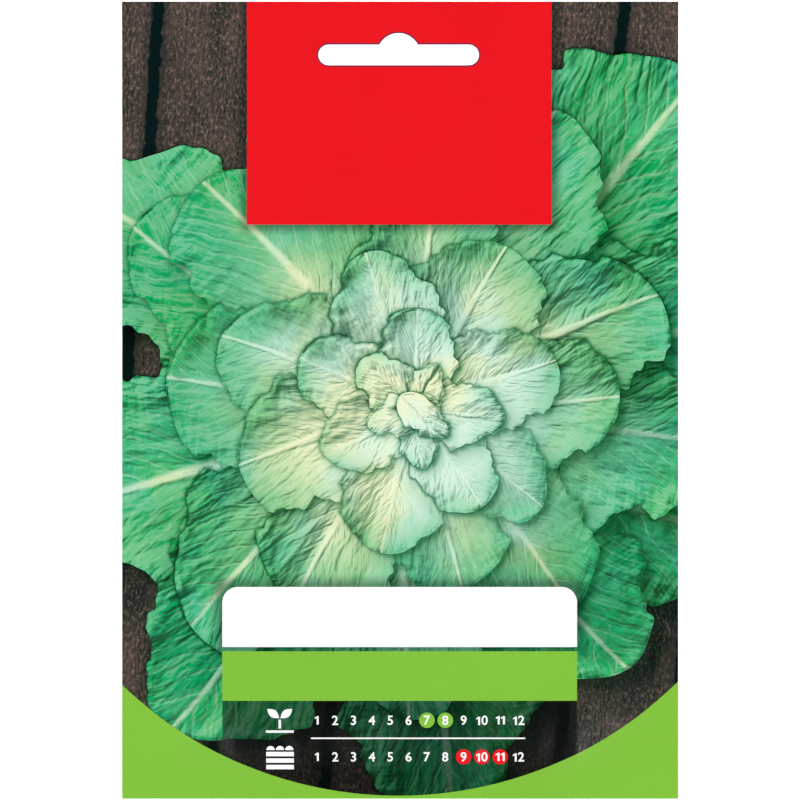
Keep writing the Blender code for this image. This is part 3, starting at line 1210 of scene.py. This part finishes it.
def leaf_relief_group():
    """A leaf's veins and its height in millimetres, at a point given in millimetres."""
    takes = [(n, VECTOR) for n in ("Point", "Place", "Form", "Tone", "From edge")]
    gives = [(n, NUMBER) for n in ("Height", "Share", "Across", "Rib", "Veins", "Net")]
    tree, (point, place, form, tone, from_edge), end = group_of("leaf relief", takes, gives)
    spot = LeafSpot(tree, point, place, form, tone)
    rib, rib_width = leaf_rib(spot)
    veins = leaf_veins(spot)
    net_point = tree.join(spot.run * 0.8, spot.side_bent, spot.seed * 50.0)
    net_gap = tree.cells(net_point, 16.0 / (spot.length * 0.35 + 12.0))
    blister = net_gap.eased(0.0, 0.38)
    lap = (spot.side + spot.warp * 4.0).eased(-0.3, 0.3)
    apart = tree.length(from_edge)
    small = spot.length * 0.006 + spot.folded * 0.35 + 0.5
    height = (
        leaf_arch(spot)
        + rib * rib_width * 0.30
        + lap * spot.folded
        + (blister * 0.20 - veins * 0.22) * (1.0 - rib) * small
        + leaf_creases(tree, spot, rib, apart) * small
        - apart.eased(0.9, 0.0) * 0.30
    )
    height = height * spot.seed.between(0.85, 1.15)
    found = (height, spot.share, spot.across, rib, veins, net_gap.eased(0.07, 0.0))
    for socket, value in zip(end.inputs, found):
        tree.feed(socket, value)


def print_shadow_group():
    """How dark the soft shadows round the red block and the label make the picture below them."""
    sizes = settings().fields
    tree, (point,), end = group_of("print shadow", [("Point", VECTOR)], [("Dark", NUMBER)])
    x, y, _ = tree.parts(point)
    aside = abs(x - sizes.middle / MM)
    block_side = (aside - sizes.block_half / MM).positive()
    block_foot = (sizes.block_foot / MM - y).positive()
    from_block = (block_side**2.0 + block_foot**2.0).root()
    label_side = (aside - sizes.field_half / MM).positive()
    label_top = (y - sizes.label_top / MM).positive()
    label_foot = (sizes.label_foot / MM - y).positive()
    from_label = (label_side**2.0 + (label_top + label_foot) ** 2.0).root()
    dark = from_block.eased(2.6, 0.0).math("MAXIMUM", from_label.eased(3.0, 0.0)) * 0.6
    tree.feed(end.inputs["Dark"], dark)


def laminate_group():
    """The clear film over the print: uneven gloss, and a faint orange peel over the paper's fibres."""
    tree, _, end = group_of("laminate", [], [("Roughness", NUMBER), ("Normal", VECTOR)])
    point = tree.millimetres()
    cloud = tree.noise(point, 0.09, detail=3.0)
    smear = tree.noise(point, 0.8, detail=2.0)
    peel = tree.noise(point, 0.55, detail=2.0)
    fibre = tree.noise(point, 7.0, detail=2.0)
    roughness = 0.15 + cloud * 0.08 + smear * 0.04
    normal = tree.bump(peel * 1.4 + fibre * 0.35, strength=0.35, distance=0.06 * MM)
    tree.feed(end.inputs["Roughness"], roughness)
    tree.feed(end.inputs["Normal"], normal)


def material_of(name):
    """A new material: its tree and its shader."""
    made = bpy.data.materials.new(name)
    made.use_nodes = True
    shader = made.node_tree.nodes["Principled BSDF"]
    set_column(shader, 22)
    set_column(made.node_tree.nodes["Material Output"], 24)
    return made, Tree(made.node_tree), shader


def finish(tree, shader, colour, roughness, normal=None, gloss=0.5):
    """Gives a shader its colour, its roughness, its fine relief and how strongly it mirrors."""
    for name, given in (("Base Color", colour), ("Roughness", roughness), ("Normal", normal)):
        tree.feed(shader.inputs[name], given)
    shader.inputs["Specular IOR Level"].default_value = gloss


def laminated(tree, shader, colour):
    """Puts a printed colour under the clear film."""
    film = use_group(tree, "laminate")
    finish(tree, shader, colour, film["Roughness"], film["Normal"], gloss=0.42)


def solid(colour, share=1.0):
    """A colour, or a share of it, as a socket takes it."""
    return (*(level * share for level in colour), 1.0)


def darkened(tree, colour, point):
    """Adds the shadows printed over the picture, and the dark panel."""
    shadow = tree.attribute("shadow", "Fac")
    panel = tree.attribute("panel", "Fac")
    soft = use_group(tree, "print shadow", point)["Dark"]
    dimmed = tree.mixed(shadow, colour, solid(SHADOW_TINT), "MULTIPLY")
    deep = tree.mixed(shadow.eased(0.30, 1.0), dimmed, solid(DEEP_SHADOW_TINT), "MULTIPLY")
    shaded = tree.mixed(soft, deep, solid(PRINTED_SHADOW))
    return tree.mixed(panel * PANEL_STRENGTH, shaded, solid(PANEL_INK))


def leaf_colour(tree, point, tone, here):
    """A leaf's own colours: greens that pale towards its foot, with pale veins and a cream rib."""
    colours = settings().colours
    seed, age, _ = tree.parts(tone)
    share, edge = here["Share"], abs(here["Across"])
    blotch = tree.noise(point, 0.10, detail=4.0, roughness=0.6)
    speck = tree.noise(point, 1.3, detail=3.0, roughness=0.65)
    tint = (blotch + (seed - 0.5) * 0.30).eased(0.34, 0.66)
    green = tree.mixed(tint, solid(colours.leaf_deep), solid(colours.leaf_bright))
    reach = (1.0 - age) ** 0.9 + 0.29
    pale = (share + (blotch - 0.5) * 0.35 + edge * 0.23).eased(reach * 1.58, reach * 0.47)
    thin = tree.mixed(pale.eased(0.35, 0.9), solid(colours.leaf_pale), solid(colours.cream))
    colour = tree.mixed(pale, green, thin)
    colour = tree.mixed(here["Veins"] * 0.42 + here["Net"] * 0.16, colour, solid(colours.leaf_pale))
    colour = tree.mixed(here["Rib"] * share.between(1.0, 0.45), colour, solid(colours.cream))
    lap = abs(here["Across"] + (blotch - 0.5) * 2.0).eased(0.12, 0.0) * age.eased(1 - HEART_FROM, 0.0)
    colour = tree.mixed(lap * 0.35, colour, solid(colours.leaf_deep))
    colour = tree.mixed(speck.eased(0.62, 0.80) * 0.25, colour, solid(colours.leaf_pale))
    colour = tree.mixed(speck.eased(0.36, 0.22) * 0.30, colour, solid(colours.leaf_deep))
    hue = tree.noise(point, 0.06, detail=3.0).eased(0.38, 0.62)
    hues = tree.join(hue.between(1.10, 0.88), 1.01, hue.between(0.88, 1.16))
    return tree.vector("MULTIPLY", colour, hues)


def leaf_print():
    """The leaves of the picture: veins, blisters and waved edges, lit from the upper left."""
    made, tree, shader = material_of("leaf print")
    point = tree.millimetres()
    place, form, tone, from_edge = (
        tree.attribute(n) for n in ("leaf_place", "leaf_form", "leaf_tone", "from_edge")
    )
    here = use_group(tree, "leaf relief", point, place, form, tone, from_edge)
    moved, moved_from_edge = (tree.vector("ADD", v, LIGHT_STEP) for v in (point, from_edge))
    lit = use_group(tree, "leaf relief", moved, place, form, tone, moved_from_edge)
    slope = (lit["Height"] - here["Height"]) / LIGHT_STEP_LENGTH
    light = (LIGHT_ABOVE - slope * LIGHT_ASIDE) / (slope * slope + 1.0).root()
    lift = (light.positive() * 0.90 + 0.22).math("MINIMUM", 1.02)
    tinted_lift = tree.join(lift**1.35, lift, lift**1.12)
    lit_colour = tree.vector("MULTIPLY", leaf_colour(tree, point, tone, here), tinted_lift)
    colour = tree.mixed(light.eased(0.90, 1.0) * 0.12, lit_colour, solid(LEAF_GLEAM))
    laminated(tree, shader, darkened(tree, colour, point))
    return made


def board_print():
    """The old boards behind the leaves, running up the packet."""
    colours = settings().colours
    made, tree, shader = material_of("board print")
    point = tree.millimetres()
    across, along, _ = tree.parts(tree.turned(point, math.radians(BOARD_SLANT)))
    waver = tree.uneven(across * 0.02, along * 0.03, 0.0, detail=2.0)
    board = (across + waver * 2.5) / BOARD_WIDTH + 0.37
    number = board.math("FLOOR")
    splinter_point = tree.join(across * 0.8, along * 0.5, number * 7.0)
    splinter = tree.noise(splinter_point, 1.0, detail=5.0, roughness=0.6)
    gap = abs(board.math("FRACT") - 0.5) + (splinter - 0.5) * 0.10
    grain_point = tree.join(across * 1.9 + waver * 6.0, along * 0.10 + number * 17.0, number * 5.0)
    grain = tree.noise(grain_point, 1.0, detail=6.0, roughness=0.7)
    fleck = tree.noise(tree.join(across * 2.1, along * 0.95, number * 3.0), 1.0, detail=3.0, roughness=0.7)
    patch = tree.noise(tree.join(across * 0.16, along * 0.06, number * 9.0), 1.0, detail=3.0)
    tone = (grain * 0.75 + fleck * 0.55 + patch * 0.60 - 0.45).eased(0.30, 0.70)
    colour = tree.mixed(tone, solid(colours.board_dark), solid(colours.board))
    colour = tree.mixed(fleck.eased(0.52, 0.68) * 0.85, colour, solid(colours.board_fleck))
    colour = tree.mixed(fleck.eased(0.44, 0.30) * 0.7, colour, solid(colours.board_seam))
    colour = tree.mixed(grain.eased(0.42, 0.28) * 0.8, colour, solid(colours.board_seam))
    colour = tree.mixed(gap.eased(0.36, 0.43) * 0.60, colour, solid(colours.board_dark))
    colour = tree.mixed(gap.eased(0.435, 0.460), colour, solid(colours.board_seam))
    laminated(tree, shader, darkened(tree, colour, point))
    return made


def plain_ink(name, colour):
    """A flat printed ink, with the slight unevenness of a print run."""
    made, tree, shader = material_of(name)
    point = tree.millimetres()
    uneven = tree.noise(point, 0.05, detail=2.0) * 0.5 + tree.noise(point, 3.0, detail=2.0) * 0.5
    laminated(tree, shader, tree.mixed(uneven.eased(0.3, 0.7), solid(colour, 0.955), solid(colour)))
    return made


def paper_edge():
    """The cut rim: uncoated paper between its films."""
    made, tree, shader = material_of("paper edge")
    fibre = tree.noise(tree.millimetres(), 9.0, detail=3.0)
    paper = settings().colours.paper
    finish(tree, shader, tree.mixed(fibre.eased(0.3, 0.7), solid(paper, 0.86), solid(paper)), 0.8)
    return made


def inner_film():
    """The web's inner side: heat-seal film, slightly milky."""
    made, tree, shader = material_of("inner film")
    point = tree.millimetres()
    cloud = tree.noise(point, 0.3, detail=3.0)
    colour = tree.mixed(cloud, solid(FILM_THIN), solid(FILM_THICK))
    finish(tree, shader, colour, cloud.between(0.38, 0.52))
    return made


def web_materials():
    """The materials of both webs, in the order of their slots."""
    colours = settings().colours
    leaf_relief_group()
    print_shadow_group()
    laminate_group()
    return [
        leaf_print(),
        board_print(),
        *(plain_ink(name, getattr(colours, name.removesuffix(" ink"))) for name in PLAIN_INKS),
        paper_edge(),
        inner_film(),
    ]


# The seed, whose profile is given as shares of its length and of its crown's radius

SEED_SUNK = 0.15 * MM
SEED_SIDES = 6
SEED_FURROW = 0.86
SEED_FLATTENED = 0.82
SEED_SHARP = math.radians(48)
SEED_PROFILE = ((0.0, 0.42), (0.12, 0.60), (0.45, 0.82), (0.88, 1.0), (1.0, 0.70))


def one_seed():
    """One seed standing on its narrow end, as points and faces: a ribbed wedge with a blunt crown."""
    sizes = settings().seed
    points = []
    for height, width in SEED_PROFILE:
        for i in range(SEED_SIDES):
            turn = math.tau * i / SEED_SIDES
            radius = sizes.crown * width * (1.0 if i % 2 else SEED_FURROW)
            x, y = radius * math.cos(turn), radius * SEED_FLATTENED * math.sin(turn)
            points.append((x, y, (height - 0.5) * sizes.length))
    faces = []
    for low in range(0, len(points) - SEED_SIDES, SEED_SIDES):
        for i in range(SEED_SIDES):
            after = (i + 1) % SEED_SIDES
            faces.append((low + i, low + after, low + SEED_SIDES + after, low + SEED_SIDES + i))
    faces.append(tuple(reversed(range(SEED_SIDES))))
    faces.append(tuple(range(len(points) - SEED_SIDES, len(points))))
    return np.array(points), faces


def bed_height(points, above):
    """The seed bed's upper or lower face at each point."""
    clear = settings().seed.clear
    return front_inside(points) - clear if above else back_inside(points) + clear


def bed_mesh():
    """The heap that the single seeds lie on, as points and faces."""
    sizes = settings().seed
    side = PACKET_WIDTH / 2 - settings().web.side_seal - sizes.inset
    foot = -PACKET_HEIGHT / 2 + settings().web.foot_seal + sizes.inset
    columns = np.linspace(-side, side, 28)
    rows = np.linspace(foot, foot + sizes.bed_length, 36)
    flat = np.array([(x, y) for y in rows for x in columns])
    top = np.column_stack((flat, bed_height(flat, True)))
    low = np.column_stack((flat, bed_height(flat, False)))
    wide, count = len(columns), len(flat)
    faces = []
    for row in range(len(rows) - 1):
        for column in range(wide - 1):
            a = row * wide + column
            faces.append((a, a + 1, a + wide + 1, a + wide))
            faces.append((count + a, count + a + wide, count + a + wide + 1, count + a + 1))
    rim = [*range(wide), *range(2 * wide - 1, count, wide)]
    rim += [*range(count - 2, count - wide - 1, -1), *range(count - 2 * wide, 0, -wide)]
    faces += [(a, count + a, count + b, b) for a, b in zip(rim, rim[1:] + rim[:1])]
    return np.concatenate((top, low)), faces


def seed_places(chance, above):
    """Where each seed lies on one side of the bed, as its middle and its turn."""
    sizes = settings().seed
    side = PACKET_WIDTH / 2 - settings().web.side_seal - sizes.inset - sizes.length / 2
    foot = -PACKET_HEIGHT / 2 + settings().web.foot_seal + sizes.inset + sizes.length / 2
    head = foot + sizes.bed_length - sizes.length
    rows = round((head - foot) / sizes.spacing)
    columns = round(2 * side / sizes.spacing)
    for row in range(rows + 1):
        for column in range(columns + 1):
            x = -side + 2 * side * column / columns + chance.uniform(-0.25, 0.25) * sizes.spacing
            y = foot + (head - foot) * row / rows + chance.uniform(-0.25, 0.25) * sizes.spacing
            height = bed_height(np.array([(x, y)]), above)[0]
            middle = Vector((x, y, height + (-SEED_SUNK if above else SEED_SUNK)))
            tilt = math.pi / 2 + chance.uniform(-0.22, 0.22)
            turn = Euler((tilt, 0.0, chance.uniform(0, math.tau))).to_matrix()
            yield middle, turn @ Matrix.Rotation(chance.uniform(0, math.tau), 3, "Z")


def seed_pile():
    """The seed charge: a bed, with single seeds all over both its faces."""
    chance = random.Random(settings().seed.draw)
    points, faces = bed_mesh()
    all_points, all_faces = [points], list(faces)
    shape, shape_faces = one_seed()
    first = len(points)
    for above in (True, False):
        for middle, turn in seed_places(chance, above):
            all_points.append(shape @ np.array(turn).T + np.array(middle))
            all_faces += [tuple(first + i for i in face) for face in shape_faces]
            first += len(shape)
    mesh = bpy.data.meshes.new("seeds")
    mesh.from_pydata(np.concatenate(all_points).tolist(), [], all_faces)
    mesh.shade_smooth()
    mesh.set_sharp_from_angle(angle=SEED_SHARP)
    return placed("seeds", mesh)


def seed_finish():
    """Chicory seed: grey-brown, with darker ribs and chaff-pale flecks."""
    colours = settings().colours
    made, tree, shader = material_of("chicory seed")
    point = tree.millimetres()
    mottle = tree.noise(point, 0.9, detail=4.0, roughness=0.6)
    ribs = tree.noise(point, 5.0, detail=3.0)
    colour = tree.mixed(mottle.eased(0.35, 0.65), solid(colours.seed_dark), solid(colours.seed_pale))
    colour = tree.mixed(ribs.eased(0.60, 0.40) * 0.5, colour, solid(colours.seed_dark))
    relief = tree.bump(ribs, strength=0.5, distance=0.08 * MM)
    finish(tree, shader, colour, ribs.between(0.55, 0.80), relief)
    return made


# The back's print


def back_fields():
    """The back's printed fields as (ink, outline): a lime foot, a lime strip and two bare framed boxes."""
    sizes = settings().back
    strip = rectangle(-PACKET_WIDTH / 2, PACKET_WIDTH / 2, sizes.strip_foot, sizes.strip_top)
    fields = [("lime", strip), ("lime", foot_outline())]
    for low, high in ((sizes.upper_foot, sizes.upper_top), (sizes.lower_foot, sizes.lower_top)):
        for ink, inset in (("lime", 0.0), ("back", sizes.line)):
            half = sizes.box_half - inset
            fields.append((ink, rounded(-half, half, low + inset, high - inset, sizes.box_corner - inset)))
    return fields


def rounded(left, right, low, high, radius):
    """A rectangle with four round corners."""
    centres = rectangle(left + radius, right - radius, low + radius, high - radius)
    found = []
    for quarter, (x, y) in enumerate(centres[2:] + centres[:2]):
        found += corner_arc(x, y, radius, quarter, 0.4 * MM)
    return found


def back_net():
    """The back's net: its rim, its slot and every field's outline."""
    grid = settings().back.grid
    net = Net()
    net.add(split(packet_outline(), grid))
    net.add(slot_outline())
    for _, outline in back_fields():
        net.add(split(outline, grid))
    net.fill(grid, CLEAR_OF_LINES * grid)
    return net


# The pieces, one operator each


def dress(piece, node):
    """Lets a piece stand for a solid of the packet, and ride with it."""
    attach(piece, "root")
    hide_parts(node)


def web_finishes(piece):
    materials = [bpy.data.materials.get(name) for name in WEB_SLOTS]
    if None in materials:
        materials = web_materials()
    for made in materials:
        piece.data.materials.append(made)


class SEEDPACKET_OT_front_web(bpy.types.Operator):
    """Build the printed front web, with its picture, its fields and its month numbers"""

    bl_idname = "seed_packet.front_web"
    bl_label = "Front web"
    bl_options = {"REGISTER", "UNDO"}

    def execute(self, context):
        leaves = rosette()
        numbers = month_numbers()
        points, faces = within_packet(*front_net(leaves, numbers).triangles())
        inks, shows = paint_front(points, faces, leaves, numbers)
        piece = closed_web("printed_front", points, faces, inks, front_outside, 1)
        store_picture(piece.data, points, faces, leaves, shows)
        web_finishes(piece)
        dress(piece, "front_web")
        return {"FINISHED"}


class SEEDPACKET_OT_back_web(bpy.types.Operator):
    """Build the back web, with its lime foot and strip and its two bare framed boxes"""

    bl_idname = "seed_packet.back_web"
    bl_label = "Back web"
    bl_options = {"REGISTER", "UNDO"}

    def execute(self, context):
        points, faces = within_packet(*back_net().triangles())
        middles = points[faces].mean(axis=1)
        inks = np.full(len(faces), WEB_SLOTS.index("back ink"))
        for ink, outline in back_fields():
            inks[inside(outline, middles)] = WEB_SLOTS.index(f"{ink} ink")
        piece = closed_web("plain_back", points, faces, inks, back_outside, -1)
        web_finishes(piece)
        dress(piece, "back_web")
        return {"FINISHED"}


class SEEDPACKET_OT_seeds(bpy.types.Operator):
    """Build the seed inside the pouch"""

    bl_idname = "seed_packet.seeds"
    bl_label = "Seed"
    bl_options = {"REGISTER", "UNDO"}

    def execute(self, context):
        piece = seed_pile()
        piece.data.materials.append(seed_finish())
        dress(piece, "seed_charge")
        return {"FINISHED"}


# The studio: linear colours, and metres

DARK_CEILING = (0.012, 0.012, 0.012)
PALE_WALL = (0.80, 0.81, 0.82)
FLOOR_HALF = 4.0
FURTHEST_SEEN = 20.0


def floor_piece():
    """A wide pale floor: a white table that glows a little, which keeps the shadows on it soft."""
    mesh = bpy.data.meshes.new("floor")
    shape = bmesh.new()
    bmesh.ops.create_grid(shape, x_segments=8, y_segments=8, size=FLOOR_HALF)
    shape.to_mesh(mesh)
    shape.free()
    floor = placed("floor", mesh)
    made, tree, shader = material_of("studio floor")
    cloud = tree.noise(tree.millimetres(), 0.01, detail=2.0)
    colour = settings().colours.floor
    finish(tree, shader, tree.mixed(cloud, solid(colour, 0.985), solid(colour)), 0.9, gloss=0.1)
    shader.inputs["Emission Color"].default_value = solid(colour)
    shader.inputs["Emission Strength"].default_value = settings().stage.table_glow
    mesh.materials.append(made)


def softbox(name, azimuth):
    """A square light that faces the packet."""
    stage = settings().stage
    light = bpy.data.lights.new(name, "AREA")
    light.size = stage.softbox_size
    light.energy = stage.key_power
    holder = placed(name, light)
    flat = math.cos(stage.softbox_rise)
    away = Vector((flat * math.cos(azimuth), flat * math.sin(azimuth), math.sin(stage.softbox_rise)))
    holder.location = away * stage.softbox_distance
    holder.rotation_euler = away.to_track_quat("Z", "Y").to_euler()


def studio_world():
    """Pale walls under a dark ceiling, so that nothing bright stands over the glossy print."""
    world = bpy.data.worlds.new("studio")
    world.use_nodes = True
    tree = Tree(world.node_tree)
    background = world.node_tree.nodes["Background"]
    set_column(background, 4)
    set_column(world.node_tree.nodes["World Output"], 5)
    height = tree.parts(tree.node("ShaderNodeTexCoord", output="Generated"))[2]
    colour = tree.mixed(height.eased(0.75, 0.25), solid(DARK_CEILING), solid(PALE_WALL))
    tree.feed(background.inputs["Color"], colour)
    bpy.context.scene.world = world


class SEEDPACKET_OT_stage(bpy.types.Operator):
    """Build the pale studio: floor, softboxes, walls and the camera over the packet"""

    bl_idname = "seed_packet.stage"
    bl_label = "Studio"
    bl_options = {"REGISTER", "UNDO"}

    def execute(self, context):
        stage = settings().stage
        floor_piece()
        studio_world()
        for i in range(4):
            softbox(f"softbox_{i + 1}", math.radians(135 - 90 * i))
        data = bpy.data.cameras.new("camera")
        data.lens = stage.lens
        data.clip_end = FURTHEST_SEEN
        camera = placed("camera", data)
        distance = stage.view_width * stage.lens / data.sensor_width
        camera.location = (stage.view_x, stage.view_y, settings().web.seal_height + distance)
        context.scene.camera = camera
        context.scene.view_settings.view_transform = "Standard"
        return {"FINISHED"}


class SEEDPACKET_PT_pieces(bpy.types.Panel):
    """The packet's pieces and settings, in the 3D view's sidebar"""

    bl_label = "Seed packet"
    bl_idname = "SEEDPACKET_PT_pieces"
    bl_space_type = "VIEW_3D"
    bl_region_type = "UI"
    bl_category = "Seed packet"

    def draw(self, context):
        layout = self.layout
        for operator in PIECES:
            layout.operator(operator.bl_idname)
        packet = context.scene.seed_packet
        for group_name in ("web", "fields", "back", "leaf", "seed", "stage", "colours"):
            group = getattr(packet, group_name)
            box = layout.box()
            for name in group.bl_rna.properties.keys():
                if name not in ("rna_type", "name"):
                    box.prop(group, name)


PIECES = (SEEDPACKET_OT_front_web, SEEDPACKET_OT_back_web, SEEDPACKET_OT_seeds, SEEDPACKET_OT_stage)
SETTING_GROUPS = (WebSizes, FieldSizes, BackSizes, LeafSizes, SeedSizes, StageSettings, PacketColours)


def register():
    for made in (*SETTING_GROUPS, PacketSettings, *PIECES, SEEDPACKET_PT_pieces):
        bpy.utils.register_class(made)
    bpy.types.Scene.seed_packet = PointerProperty(type=PacketSettings)


def unregister():
    del bpy.types.Scene.seed_packet
    for made in (SEEDPACKET_PT_pieces, *reversed(PIECES), PacketSettings, *reversed(SETTING_GROUPS)):
        bpy.utils.unregister_class(made)


def main():
    register()
    bpy.ops.seed_packet.front_web()
    bpy.ops.seed_packet.back_web()
    bpy.ops.seed_packet.seeds()
    bpy.ops.seed_packet.stage()


if __name__ == "__main__":
    main()
